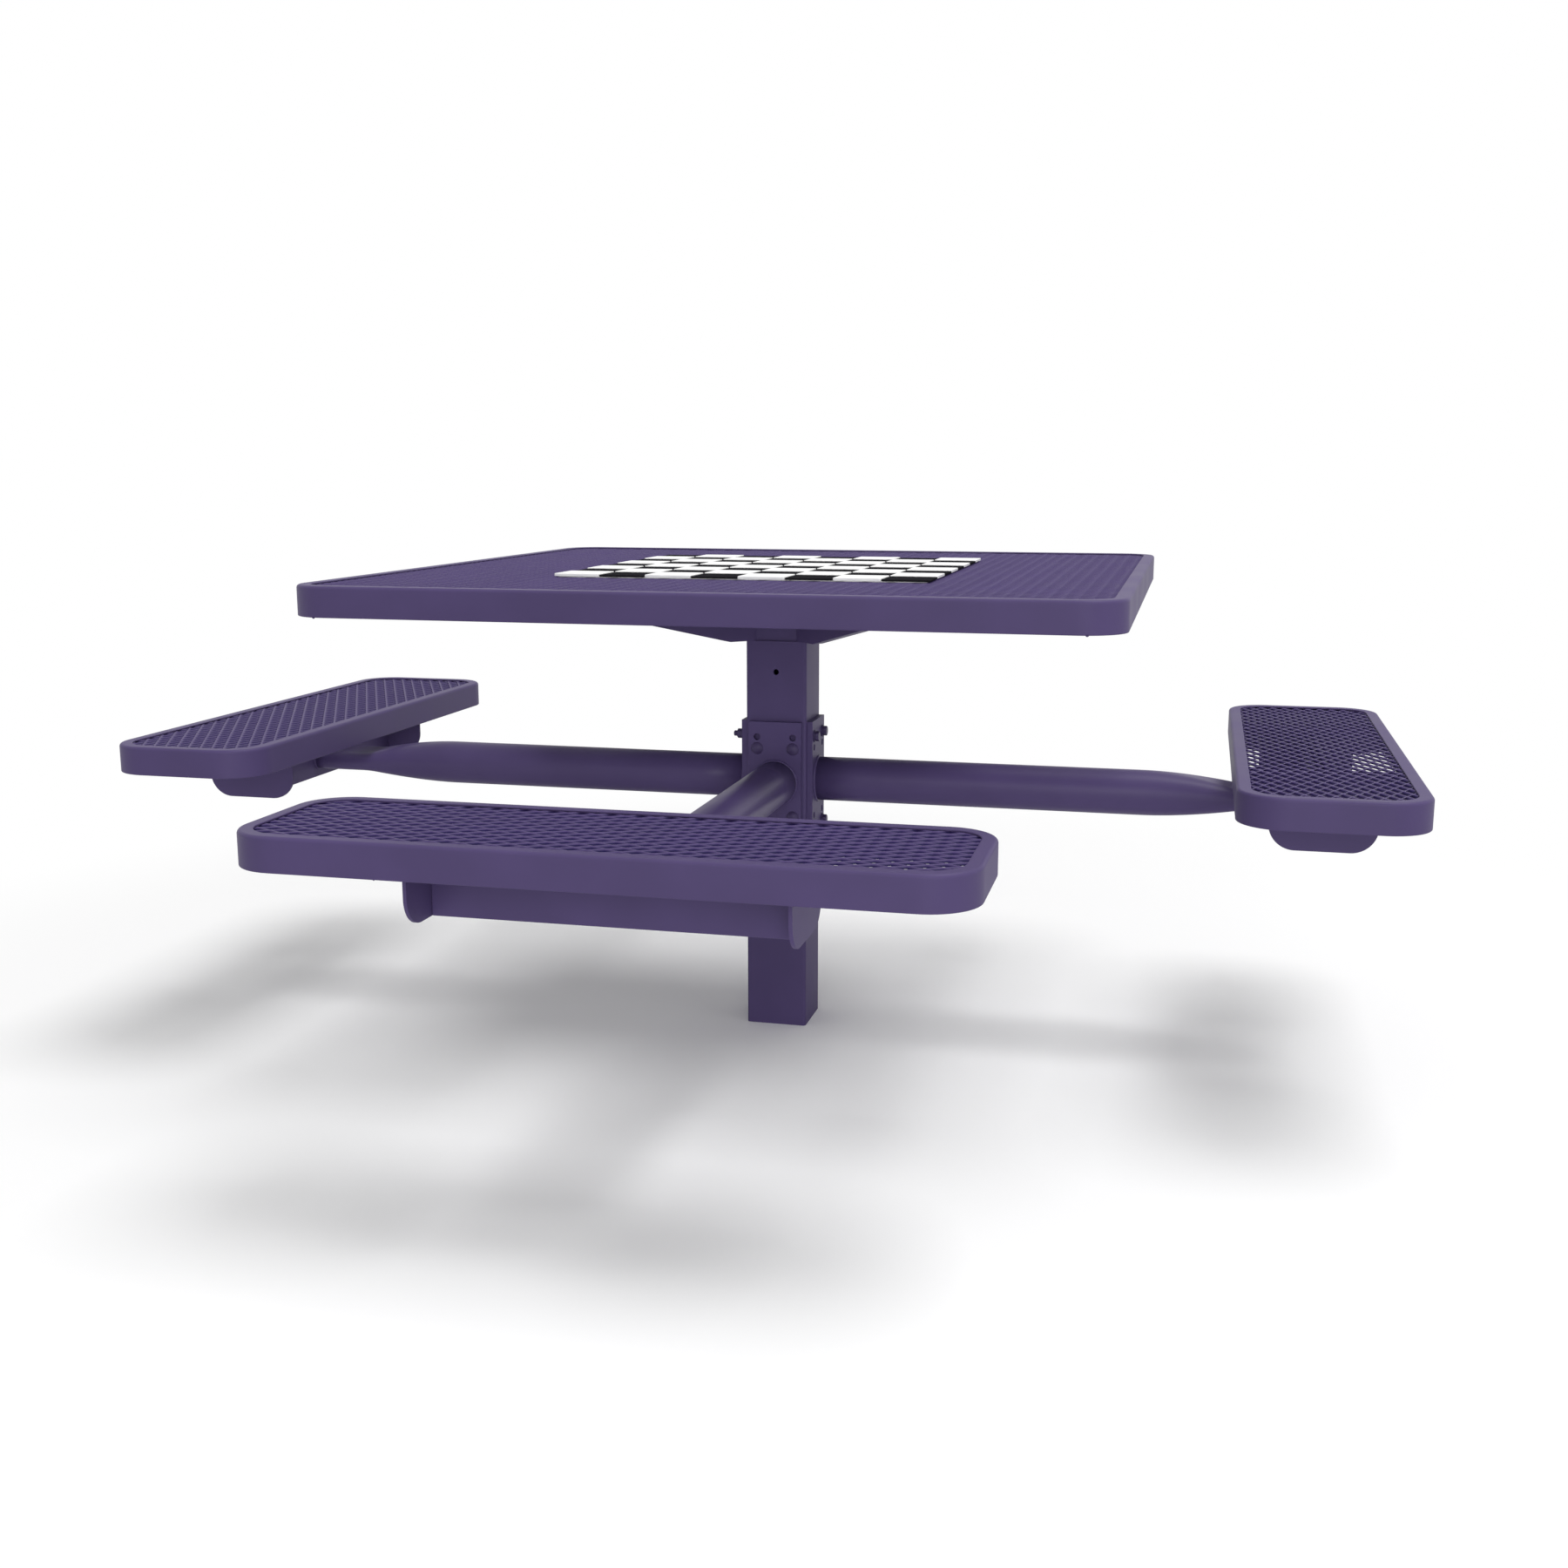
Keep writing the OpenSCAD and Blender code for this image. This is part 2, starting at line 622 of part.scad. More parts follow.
post();
mount_sleeve();
wing_front_right();
wing_rear_right();
wing_rear_left();
wing_front_left();
table_rim();
table_mesh();
table_brace_left();
table_brace_right();
table_nuts();
table_washers();
board_base();
white_squares();
dark_squares();
hub_plate_right();
hub_plate_left();
hub_plate_front();
hub_plate_rear();
arm_right();
arm_left();
arm_front();
side_bolts();
side_nuts();
side_washers();
cross_bolts();
cross_nuts();
cross_washers();
right_seat_rim();
right_seat_mesh();
right_seat_bar();
right_seat_front_bracket();
right_seat_rear_bracket();
right_seat_front_strap();
right_seat_rear_strap();
right_seat_washers();
right_seat_nuts();
left_seat_rim();
left_seat_mesh();
left_seat_bar();
left_seat_front_bracket();
left_seat_rear_bracket();
left_seat_front_strap();
left_seat_rear_strap();
left_seat_washers();
left_seat_nuts();
front_seat_rim();
front_seat_mesh();
front_seat_bar();
front_seat_left_bracket();
front_seat_right_bracket();
front_seat_left_strap();
front_seat_right_strap();
front_seat_washers();
front_seat_nuts();
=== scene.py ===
import math

import bmesh
import bpy
import numpy as np
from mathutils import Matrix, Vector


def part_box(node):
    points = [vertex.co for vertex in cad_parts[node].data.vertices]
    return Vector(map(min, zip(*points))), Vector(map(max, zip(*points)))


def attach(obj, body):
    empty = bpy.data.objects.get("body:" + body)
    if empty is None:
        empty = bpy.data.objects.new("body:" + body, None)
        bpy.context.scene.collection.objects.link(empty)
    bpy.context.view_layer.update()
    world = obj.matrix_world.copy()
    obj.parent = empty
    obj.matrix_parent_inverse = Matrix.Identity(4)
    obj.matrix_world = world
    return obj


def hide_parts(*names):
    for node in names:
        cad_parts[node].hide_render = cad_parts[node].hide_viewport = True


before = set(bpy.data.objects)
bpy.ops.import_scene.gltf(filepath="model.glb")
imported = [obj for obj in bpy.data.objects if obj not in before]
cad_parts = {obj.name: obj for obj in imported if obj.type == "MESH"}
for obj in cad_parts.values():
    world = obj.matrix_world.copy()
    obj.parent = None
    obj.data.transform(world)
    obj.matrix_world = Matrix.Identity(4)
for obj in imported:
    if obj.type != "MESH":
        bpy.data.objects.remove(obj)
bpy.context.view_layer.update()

print("frame loaded:", len(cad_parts), "nodes")


# Small helpers


def linearColour(hexText):
    # sRGB hex to linear: c / 12.92 below 0.04045, else ((c + 0.055) / 1.055) ^ 2.4
    parts = np.array([int(hexText[i:i + 2], 16) for i in (1, 3, 5)]) / 255
    linear = np.where(parts <= 0.04045, parts / 12.92, ((parts + 0.055) / 1.055) ** 2.4)
    return (*linear.tolist(), 1.0)


def addNode(tree, kind, settings=None, inputs=None, links=None):
    # settings go on the node, inputs on its sockets, links are {input: (node, output)}
    node = tree.nodes.new(kind)
    for key, value in (settings or {}).items():
        setattr(node, key, value)
    for key, value in (inputs or {}).items():
        node.inputs[key].default_value = value
    for key, (source, output) in (links or {}).items():
        tree.links.new(source.outputs[output], node.inputs[key])
    return node


def turnedAbout(points, quarterTurns):
    # quarter turns about the post's axis: (x, y) becomes (x cos - y sin, x sin + y cos)
    c, s = [(1, 0), (0, 1), (-1, 0), (0, -1)][quarterTurns % 4]
    points = np.asarray(points, float)
    x, y = points[..., 0], points[..., 1]
    return np.stack([c * x - s * y, s * x + c * y, points[..., 2]], -1)


def surfaceObject(name, points, faces, material, smooth=True):
    # points is N x 3 in metres; faces is F x 4, where a triangle repeats its last corner
    mesh = bpy.data.meshes.new(name)
    faces = np.asarray(faces, np.int32)
    triangle = faces[:, 3] == faces[:, 2]
    counts = np.where(triangle, 3, 4)
    keep = np.ones(faces.shape, bool)
    keep[triangle, 3] = False
    loops = faces[keep]
    mesh.vertices.add(len(points))
    mesh.vertices.foreach_set("co", np.asarray(points, np.float32).ravel())
    mesh.loops.add(len(loops))
    mesh.loops.foreach_set("vertex_index", loops)
    mesh.polygons.add(len(faces))
    mesh.polygons.foreach_set("loop_start", np.concatenate([[0], np.cumsum(counts)[:-1]]).astype(np.int32))
    mesh.update(calc_edges=True)
    mesh.validate()
    if smooth:
        mesh.polygons.foreach_set("use_smooth", np.ones(len(mesh.polygons), bool))
    mesh.materials.append(material)
    piece = bpy.data.objects.new(name, mesh)
    bpy.context.scene.collection.objects.link(piece)
    return piece


def gridFaces(rows, columns, closeRows=False, closeColumns=False):
    # quads between neighbouring points of a rows x columns grid, wrapped where it is closed
    i = np.arange(rows if closeRows else rows - 1)
    j = np.arange(columns if closeColumns else columns - 1)
    i, j = (a.ravel() for a in np.meshgrid(i, j, indexing="ij"))
    ni, nj = (i + 1) % rows, (j + 1) % columns
    return np.stack([i * columns + j, ni * columns + j, ni * columns + nj, i * columns + nj], -1)


def endCap(ring, centre):
    # fan of triangles from a centre point to a closed ring of indices
    ring = np.asarray(ring)
    following = np.roll(ring, -1)
    return np.stack([np.full(len(ring), centre), ring, following, following], -1)


def cappedFaces(rows, columns):
    # faces of a closed tube of rings, whose two end middles follow the rings' points
    count = rows * columns
    ring = np.arange(columns)
    wall = gridFaces(rows, columns, False, True)[:, ::-1]
    first, last = endCap(ring, count)[:, [0, 2, 1, 1]], endCap(ring + count - columns, count + 1)
    return np.concatenate([wall, first, last])


def joined(parts):
    # one list of points and faces from several
    points, faces, start = [], [], 0
    for p, f in parts:
        p = np.asarray(p, float).reshape(-1, 3)
        points.append(p)
        faces.append(np.asarray(f) + start)
        start += len(p)
    return np.concatenate(points), np.concatenate(faces)


def placed(piece, slotName, *nodes):
    # the piece rides on the only body and stands for these nodes
    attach(piece, "root")
    if nodes:
        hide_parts(*nodes)


# Materials

mixSockets = {"factor": 0, "first": 6, "second": 7, "result": 2}    # numbers on a colour mixing node
coatingLook = {
    "colour": "#4c4069",        # dark violet vinyl
    "mottle": 0.05,             # share by which the colour drifts darker and lighter
    "drift": 110,               # mm, about a hand's width, over which it drifts
    "driftEdges": (0.35, 0.65),     # noise values at the darkest and the lightest colour
    "roughness": 0.52,
    "roughnessDrift": 0.03,
    "roughnessEdges": (0.3, 0.7),
    "specular": 0.20,           # a dull skin, whose gloss shows at low angles only
    "ior": 1.5,
    "grain": 2.6,               # mm, size of the orange peel
    "grainHeight": 0.00012,     # m
    "grainStrength": 0.35,
}
boardLook = {
    "mottle": 0.03,
    "drift": 30,                # mm, size of the clouds in the plastic
    "ior": 1.5,
    "pebble": 1.2,              # mm, size of the fine pebbling
    "pebbleHeight": 0.00006,    # m
    "pebbleStrength": 0.3,
}


def vinylCoating(name, look):
    # Plastisol dipped over steel: one thick, slightly soft skin of low gloss with a faint orange peel
    material = bpy.data.materials.new(name)
    material.use_nodes = True
    tree = material.node_tree
    shader = tree.nodes["Principled BSDF"]
    place = addNode(tree, "ShaderNodeTexCoord")
    drift = addNode(tree, "ShaderNodeTexNoise", links={"Vector": (place, "Object")},
                    inputs={"Scale": 1000 / look["drift"], "Detail": 2.0, "Roughness": 0.5})
    base = np.array(linearColour(look["colour"])[:3])
    ramp = addNode(tree, "ShaderNodeValToRGB", links={"Fac": (drift, "Fac")})
    shares = (-look["mottle"], look["mottle"])
    for stop, position, share in zip(ramp.color_ramp.elements, look["driftEdges"], shares):
        stop.position = position
        stop.color = (*(base * (1 + share)), 1)
    if "sideShade" in look:
        # painted shade: below their upper edge the strands' sides are painted a deep violet that stands in
        # for the shade down in the diamonds, so that the openings read as holes
        depth = addNode(tree, "ShaderNodeAttribute", {"attribute_name": "sideDepth"})
        upper, lower = look["sideShadeEdges"]
        share = addNode(tree, "ShaderNodeMapRange", {"interpolation_type": "SMOOTHSTEP"},
                        {"From Min": upper, "From Max": lower}, {"Value": (depth, "Fac")})
        paintedShade = addNode(tree, "ShaderNodeMix", {"data_type": "RGBA"},
                         {mixSockets["second"]: linearColour(look["sideShade"])},
                         {mixSockets["factor"]: (share, "Result"), mixSockets["first"]: (ramp, "Color")})
        tree.links.new(paintedShade.outputs[mixSockets["result"]], shader.inputs["Base Color"])
    else:
        tree.links.new(ramp.outputs["Color"], shader.inputs["Base Color"])
    peel = addNode(tree, "ShaderNodeTexNoise", inputs={"Scale": 1000 / look["grain"], "Detail": 1.0},
                   links={"Vector": (place, "Object")})
    bump = addNode(tree, "ShaderNodeBump", links={"Height": (peel, "Fac")},
                   inputs={"Strength": look["grainStrength"], "Distance": look["grainHeight"]})
    tree.links.new(bump.outputs["Normal"], shader.inputs["Normal"])
    low, high = look["roughnessEdges"]
    rough = addNode(tree, "ShaderNodeMapRange", links={"Value": (drift, "Fac")},
                    inputs={"From Min": low, "From Max": high,
                            "To Min": look["roughness"] - look["roughnessDrift"],
                            "To Max": look["roughness"] + look["roughnessDrift"]})
    tree.links.new(rough.outputs["Result"], shader.inputs["Roughness"])
    shader.inputs["IOR"].default_value = look["ior"]
    shader.inputs["Specular IOR Level"].default_value = look["specular"]
    return material


def boardPlastic(name, look):
    # HDPE sheet cut into squares: a waxy satin face with fine pebbling
    material = bpy.data.materials.new(name)
    material.use_nodes = True
    tree = material.node_tree
    shader = tree.nodes["Principled BSDF"]
    place = addNode(tree, "ShaderNodeTexCoord")
    drift = addNode(tree, "ShaderNodeTexNoise", inputs={"Scale": 1000 / look["drift"], "Detail": 3.0},
                    links={"Vector": (place, "Object")})
    base = np.array(linearColour(look["colour"])[:3])
    ramp = addNode(tree, "ShaderNodeValToRGB", links={"Fac": (drift, "Fac")})
    for stop, share in zip(ramp.color_ramp.elements, (-look["mottle"], look["mottle"])):
        stop.color = (*np.minimum(base * (1 + share), 1), 1)
    tree.links.new(ramp.outputs["Color"], shader.inputs["Base Color"])
    pebble = addNode(tree, "ShaderNodeTexNoise", inputs={"Scale": 1000 / look["pebble"], "Detail": 2.0},
                     links={"Vector": (place, "Object")})
    bump = addNode(tree, "ShaderNodeBump",
                   inputs={"Strength": look["pebbleStrength"], "Distance": look["pebbleHeight"]},
                   links={"Height": (pebble, "Fac")})
    tree.links.new(bump.outputs["Normal"], shader.inputs["Normal"])
    shader.inputs["Roughness"].default_value = look["roughness"]
    shader.inputs["IOR"].default_value = look["ior"]
    shader.inputs["Specular IOR Level"].default_value = look["specular"]
    return material


frameCoating = vinylCoating("dippedVinylFrame", coatingLook)
tubeCoating = vinylCoating("dippedVinylTube", {**coatingLook, "roughness": 0.40})    # smoother on round tube
meshCoating = vinylCoating("dippedVinylMesh", {
    # painted light: the mesh's coat, the same vinyl as the frame's, is painted a little lighter to lift the
    # strands' tops against the painted shade on their sides
    **coatingLook, "colour": "#4e416e", "specular": 0.15, "grain": 2.0, "mottle": 0.03,
    # painted shade for the strands' sides: a deep violet where shade falls into the openings
    "sideShade": "#190d44",
    "sideShadeEdges": (0.14, 0.62),     # shares of the strand's depth where the painted shade starts and is full
})
boltCoating = vinylCoating("coatedSteelFasteners", {**coatingLook, "colour": "#43385c", "roughness": 0.45,
                                                    "grain": 1.2})
whitePlastic = boardPlastic("whitePolyethylene", {**boardLook, "colour": "#fefefd", "roughness": 0.60,
                                                  "specular": 0.45})
blackPlastic = boardPlastic("blackPolyethylene", {**boardLook, "colour": "#222125", "roughness": 0.85,
                                                  "specular": 0.002})
print("materials made")


# Rims: an angle section carried round a rounded rectangle

rimSheet = {
    "sheet": 0.0024, "flange": 0.0195, "bend": 0.005,
    "lipSteps": 6, "innerSteps": 5, "outerSteps": 8, "cornerSteps": 14,
    "holder": 0.0005,           # m from a bend to the point that holds the flat beside it flat
    "straightHolder": 0.002,    # the same along the rim, beside its corners
}


def rimSize(node, corner):
    # outer width, length, height and depth of a rim, read from its node
    low, high = (np.array(c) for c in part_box(node))
    width, length, depth = high - low
    return {**rimSheet, "width": width, "length": length, "corner": corner, "top": high[2], "depth": depth}


topRim = rimSize("table_rim", corner=0.062)
seatRim = rimSize("right_seat_rim", corner=0.065)
seatOut = np.mean([c[0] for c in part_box("right_seat_rim")])     # from the post's axis to a bench's middle
seatTurns = {"right": 0, "front": 3, "left": 2}


def arcPoints(cx, cy, radius, fromDeg, toDeg, steps):
    # points on a circle: centre + radius (cos, sin)
    a = np.radians(np.linspace(fromDeg, toDeg, steps + 1))
    return np.stack([cx + radius * np.cos(a), cy + radius * np.sin(a)], -1)


def withHolders(outline, gap):
    # two more points on each side over four gaps long, a gap from its ends, so that flats keep a flat shade
    following = np.roll(outline, -1, 0)
    side = following - outline
    length = np.linalg.norm(side, axis=1, keepdims=True)
    step = side / np.maximum(length, 1e-9) * gap
    longSide = length[:, 0] > 4 * gap
    stacked = np.stack([outline, outline + step, following - step], 1)
    keep = np.stack([np.ones(len(outline), bool), longSide, longSide], 1)
    return stacked[keep]


def rimSection(rim):
    # (inward, up) loop of the folded sheet: outer bend of radius b, inner bend b - t, both lips round
    b, t, d, f = rim["bend"], rim["sheet"], rim["depth"], rim["flange"]
    lip = t / 2
    loop = np.concatenate([
        arcPoints(lip, -d + lip, lip, 180, 360, rim["lipSteps"]),    # round lip at the foot of the wall
        arcPoints(b, -b, b - t, 180, 90, rim["innerSteps"]),         # inside of the bend
        arcPoints(f - lip, -lip, lip, -90, 90, rim["lipSteps"]),     # round lip of the border
        arcPoints(b, -b, b, 90, 180, rim["outerSteps"]),             # outside of the bend
    ])
    return withHolders(loop, rim["holder"])


def roundedPath(width, length, corner, steps, holder):
    # outer line and outward normal: quarter circles of the corner radius with a short straight at each end
    base, normal = [], []
    for quarter in range(4):
        a = np.radians(np.linspace(90 * quarter, 90 * quarter + 90, steps + 1))
        n = np.stack([np.cos(a), np.sin(a)], -1)
        sx, sy = np.sign(np.cos(a[steps // 2])), np.sign(np.sin(a[steps // 2]))
        centre = np.array([sx * (width / 2 - corner), sy * (length / 2 - corner)])
        p = centre + corner * n
        before = np.array([n[0, 1], -n[0, 0]]) * holder
        after = np.array([-n[-1, 1], n[-1, 0]]) * holder
        base.append(np.concatenate([[p[0] + before], p, [p[-1] + after]]))
        normal.append(np.concatenate([n[:1], n, n[-1:]]))
    return np.concatenate(base), np.concatenate(normal)


def rimSurface(rim):
    # point = outer line - inward x normal, raised by the section's height
    section = rimSection(rim)
    base, normal = roundedPath(rim["width"], rim["length"], rim["corner"], rim["cornerSteps"],
                               rim["straightHolder"])
    xy = base[:, None, :] - normal[:, None, :] * section[None, :, :1]
    z = np.broadcast_to(rim["top"] + section[None, :, 1], xy.shape[:2])
    points = np.concatenate([xy, z[..., None]], -1)
    faces = gridFaces(len(base), len(section), True, True)
    return points.reshape(-1, 3), faces


# across and out are a drip's places from the top's or the bench's middle
dripShape = {"around": 12, "rings": 5, "lastAngle": 80, "narrowing": 0.6, "sunk": 0.0004}
topDrip = {**dripShape, "radius": 0.0022, "depth": 0.0018, "across": 0.535, "out": 0.5825}
seatDrip = {**dripShape, "radius": 0.0020, "depth": 0.0016, "across": 0.1240, "out": 0.2510}


def dripSurface(x, y, foot, drip):
    # last drop of the dip under a rim: half an ellipsoid that hangs from a little above the rim's foot
    around, rings, radius, depth = (drip[key] for key in ("around", "rings", "radius", "depth"))
    top = foot + drip["sunk"]
    u = np.radians(np.linspace(0, 360, around + 1)[:-1])
    v = np.radians(np.linspace(0, drip["lastAngle"], rings))[:, None]
    ring = np.stack([x + radius * np.cos(v) * np.cos(u),
                     y + radius * drip["narrowing"] * np.cos(v) * np.sin(u),
                     top - depth * np.sin(v) * np.ones(around)], -1)
    points = np.concatenate([ring.reshape(-1, 3), [[x, y, top - depth], [x, y, top]]])
    count = rings * around
    faces = np.concatenate([gridFaces(rings, around, False, True)[:, ::-1],
                            endCap(np.arange(count - around, count), count)[:, [0, 2, 1, 1]],
                            endCap(np.arange(around), count + 1)])
    return points, faces


parts = [rimSurface(topRim)]
for x in (-topDrip["across"], topDrip["across"]):
    for y in (-topDrip["out"], topDrip["out"]):
        parts.append(dripSurface(x, y, topRim["top"] - topRim["depth"], topDrip))
points, faces = joined(parts)
placed(surfaceObject("topRim", points, faces, frameCoating), "coated_frame", "table_rim")

for side, turns in seatTurns.items():
    parts = [rimSurface(seatRim)]
    for y in (-seatDrip["out"], seatDrip["out"]):
        parts.append(dripSurface(seatDrip["across"], y, seatRim["top"] - seatRim["depth"], seatDrip))
    points, faces = joined(parts)
    points = turnedAbout(points + [seatOut, 0, 0], turns)
    piece = surfaceObject(side + "SeatRim", points, faces, frameCoating)
    placed(piece, "coated_frame", side + "_seat_rim")
print("rims made")


# Expanded metal: one tile round each diamond, from strand middle to opening and back under

seatMesh = {
    "width": seatRim["width"], "length": seatRim["length"], "corner": seatRim["corner"],
    "top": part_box("right_seat_mesh")[1][2],
    "inset": 0.0053,            # from the rim's outer face to the sheet's edge
    "thickness": 0.0030,
    "pitchLong": 0.039, "pitchShort": 0.0195,
    "strand": 0.0036,
    "lean": 0.0030,             # how far a strand's top stands off its foot
    "around": 16,               # points round a diamond
    "rounding": 1.18,           # power that rounds the opening's corners
    "edgeShare": 0.30,          # a diamond is kept up to this share of a pitch outside the outline
    "edgeSlack": 1e-5,          # m inside the outline where a point still counts as on it
    # half the strand's section, from its top middle round to its bottom middle:
    # share of the half width, and depth below the top in metres
    "section": ((0.0, 0.0), (0.78, 0.0), (0.88, 0.0003), (0.97, 0.0012), (1.16, 0.0025), (1.06, 0.0030),
                (0.0, 0.0030)),
}
topMesh = {
    **seatMesh,
    "width": topRim["width"], "length": topRim["length"], "corner": topRim["corner"],
    "top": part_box("table_mesh")[1][2],
    "lean": 0.0010,
    "section": ((0.0, 0.0), (0.50, 0.0), (0.72, 0.0003), (0.90, 0.0012), (0.96, 0.0022), (0.80, 0.0030),
                (0.0, 0.0030)),
}
weldGap = 2e-5                  # m between points that are taken as one


def meshTile(settings, pitchShort, pitchLong):
    # a ring of points for each corner of the section: outer diamond + share x (opening - outer diamond)
    t = np.arange(settings["around"]) / settings["around"] * 4
    k, u = np.floor(t).astype(int), t % 1
    corners = np.array([[1, 0], [0, 1], [-1, 0], [0, -1]], float)
    diamond = corners[k] * (1 - u)[:, None] + corners[(k + 1) % 4] * u[:, None]
    # the opening is a diamond whose corners the coating rounds: |x|^p + |y|^p = 1, where p is the rounding
    power = settings["rounding"]
    size = (np.abs(diamond) ** power).sum(1) ** (1 / power)
    opening = diamond / size[:, None]
    slant = settings["strand"] / 2 * math.hypot(pitchShort, pitchLong)
    outer = diamond * [pitchShort / 2, pitchLong / 2]
    inner = opening * [pitchShort / 2 - slant / pitchLong, pitchLong / 2 - slant / pitchShort]
    share, depth = np.array(settings["section"]).T
    xy = outer[None] * (1 - share)[:, None, None] + inner[None] * share[:, None, None]
    height = np.broadcast_to((settings["thickness"] / 2 - depth)[:, None], xy.shape[:2])
    return np.concatenate([xy, height[..., None]], -1)


def meshSheet(settings):
    # tiles on a staggered lattice; points past the sheet's outline are drawn back onto it at mid height
    sw, sl = (settings[k] - 2 * settings["inset"] for k in ("width", "length"))
    corner = settings["corner"] - settings["inset"]
    pw = sw / round(sw / settings["pitchShort"])
    pl = sl / round(sl / settings["pitchLong"])
    tile = meshTile(settings, pw, pl)
    columns, rows = int(sw / pw) + 2, int(sl / pl) + 2
    i, j = np.meshgrid(np.arange(-columns, columns + 1), np.arange(-rows, rows + 1))
    even = (i + j) % 2 == 0
    centres = np.stack([i[even] * pw / 2, j[even] * pl / 2], -1)
    half = np.array([sw / 2, sl / 2])
    past = np.maximum(np.abs(centres) - (half - corner), 0)
    reach = np.where((np.abs(centres) > half - corner).all(1), np.linalg.norm(past, axis=1) - corner,
                     (np.abs(centres) - half).max(1))
    centres = centres[reach < settings["edgeShare"] * pw]
    points = np.repeat(tile[None], len(centres), 0)
    points[..., :2] += centres[:, None, None, :]
    # signed way out of the rounded outline, and the nearest point on it
    q = np.abs(points[..., :2]) - (half - corner)
    out = np.linalg.norm(np.maximum(q, 0), axis=-1) + np.minimum(q.max(-1), 0) - corner
    over = out > -settings["edgeSlack"]
    direction = np.maximum(q, 0)
    direction = direction / np.maximum(np.linalg.norm(direction, axis=-1, keepdims=True), 1e-9)
    direction = direction * np.sign(points[..., :2])
    drawn = points[..., :2] - direction * out[..., None]
    points[..., :2] = np.where(over[..., None], drawn, points[..., :2])
    # every strand leans: x moves by lean x height / thickness, and not at the sheet's edge
    hold = np.clip(-out / (pw / 2), 0, 1)
    points[..., 0] += settings["lean"] * hold * points[..., 2] / settings["thickness"]
    points[..., 2] = np.where(over, 0, points[..., 2]) + settings["top"] - settings["thickness"] / 2
    rings, around = tile.shape[:2]
    single = gridFaces(rings, around, False, True)[:, ::-1]
    faces = single[None] + (np.arange(len(centres)) * rings * around)[:, None, None]
    return points, faces, centres


def cleanedPiece(name, points, faces, material):
    # welds shared edges and drops what the outline squeezed flat
    piece = surfaceObject(name, points.reshape(-1, 3), faces.reshape(-1, 4), material)
    # how far down the strand's side a point lies, from 0 to 1, for the coating's painted shade
    depth = piece.data.attributes.new("sideDepth", "FLOAT", "POINT")
    height = points.reshape(-1, 3)[:, 2]
    depth.data.foreach_set("value", ((height.max() - height) / np.ptp(height)).astype(np.float32))
    work = bmesh.new()
    work.from_mesh(piece.data)
    bmesh.ops.remove_doubles(work, verts=work.verts, dist=weldGap)
    bmesh.ops.dissolve_degenerate(work, edges=work.edges, dist=weldGap)
    work.to_mesh(piece.data)
    work.free()
    piece.data.update()
    return piece


# as shares of the full lean: the strands' feet point to the post at the sides and away from it at the front
meshLean = {"right": 1, "front": -0.85, "left": 1}
for side, turns in seatTurns.items():
    points, faces = meshSheet({**seatMesh, "lean": seatMesh["lean"] * meshLean[side]})[:2]
    points = turnedAbout(points + [seatOut, 0, 0], turns)
    placed(cleanedPiece(side + "SeatMesh", points, faces, meshCoating), "coated_mesh", side + "_seat_mesh")

# the top's diamonds lie along X, and the sheet is made in four pieces, a quarter each
points, faces, centres = meshSheet(topMesh)
points = turnedAbout(points, 1)
centres = np.stack([-centres[:, 1], centres[:, 0]], -1)
for name, sx, sy in (("topMeshRearRight", 1, 1), ("topMeshRearLeft", -1, 1),
                     ("topMeshFrontLeft", -1, -1), ("topMeshFrontRight", 1, -1)):
    mine = ((centres[:, 0] >= 0) == (sx > 0)) & ((centres[:, 1] >= 0) == (sy > 0))
    piece = cleanedPiece(name, points[mine], faces[:mine.sum()], meshCoating)
    placed(piece, "coated_mesh", "table_mesh")
print("mesh sheets made")


# Arms: a round tube pressed flat towards the bench, its girth unchanged

armLow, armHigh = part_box("arm_right")
armTube = {
    "diameter": 0.0730, "flat": 0.03175,
    "height": (armLow[2] + armHigh[2]) / 2, "start": armLow[0], "end": armHigh[0],
    "squeezeFrom": armHigh[0] - 0.2540, "squeezeTo": armHigh[0] - 0.1016,
    "curve": 1.8,               # power by which the squeeze sets in
    "blend": 0.012,             # m, either way, over which its edges soften
    "blendSteps": 9,
    "margin": 0.02,             # m past the squeeze at either end with close rings
    "rings": (8, 66, 6),        # before, in and after the squeeze
    "halfPoints": 25,           # points on a half circle
}
weld = {
    "sunk": 0.0006, "sides": 8,
    "hubBead": 0.0026, "hubPoints": 64,
    "barBead": 0.0022, "barPoints": 72,
    # share of the bead's radius, turn for each step and multiple of the seed
    "ripples": ((0.08, 1.9, 1), (0.05, 0.7, 2)),
}


def tubeThickness(x, arm):
    # diameter less (diameter - flat) u^curve, with the press's edge softened over the blend length
    steps = np.linspace(-arm["blend"], arm["blend"], arm["blendSteps"])
    u = np.clip((x[:, None] + steps - arm["squeezeFrom"]) / (arm["squeezeTo"] - arm["squeezeFrom"]), 0, 1)
    return arm["diameter"] - (arm["diameter"] - arm["flat"]) * (u ** arm["curve"]).mean(1)


def stadiumRing(thickness, arm, count):
    # two half circles of the thickness with flats between, so that pi t + 2 flat = pi d
    half = math.pi * (arm["diameter"] - thickness) / 4
    a = np.radians(np.linspace(-90, 90, count))
    y = half[:, None] + thickness[:, None] / 2 * np.cos(a)
    z = thickness[:, None] / 2 * np.sin(a)
    return np.concatenate([y, -y], 1), np.concatenate([z, -z], 1)


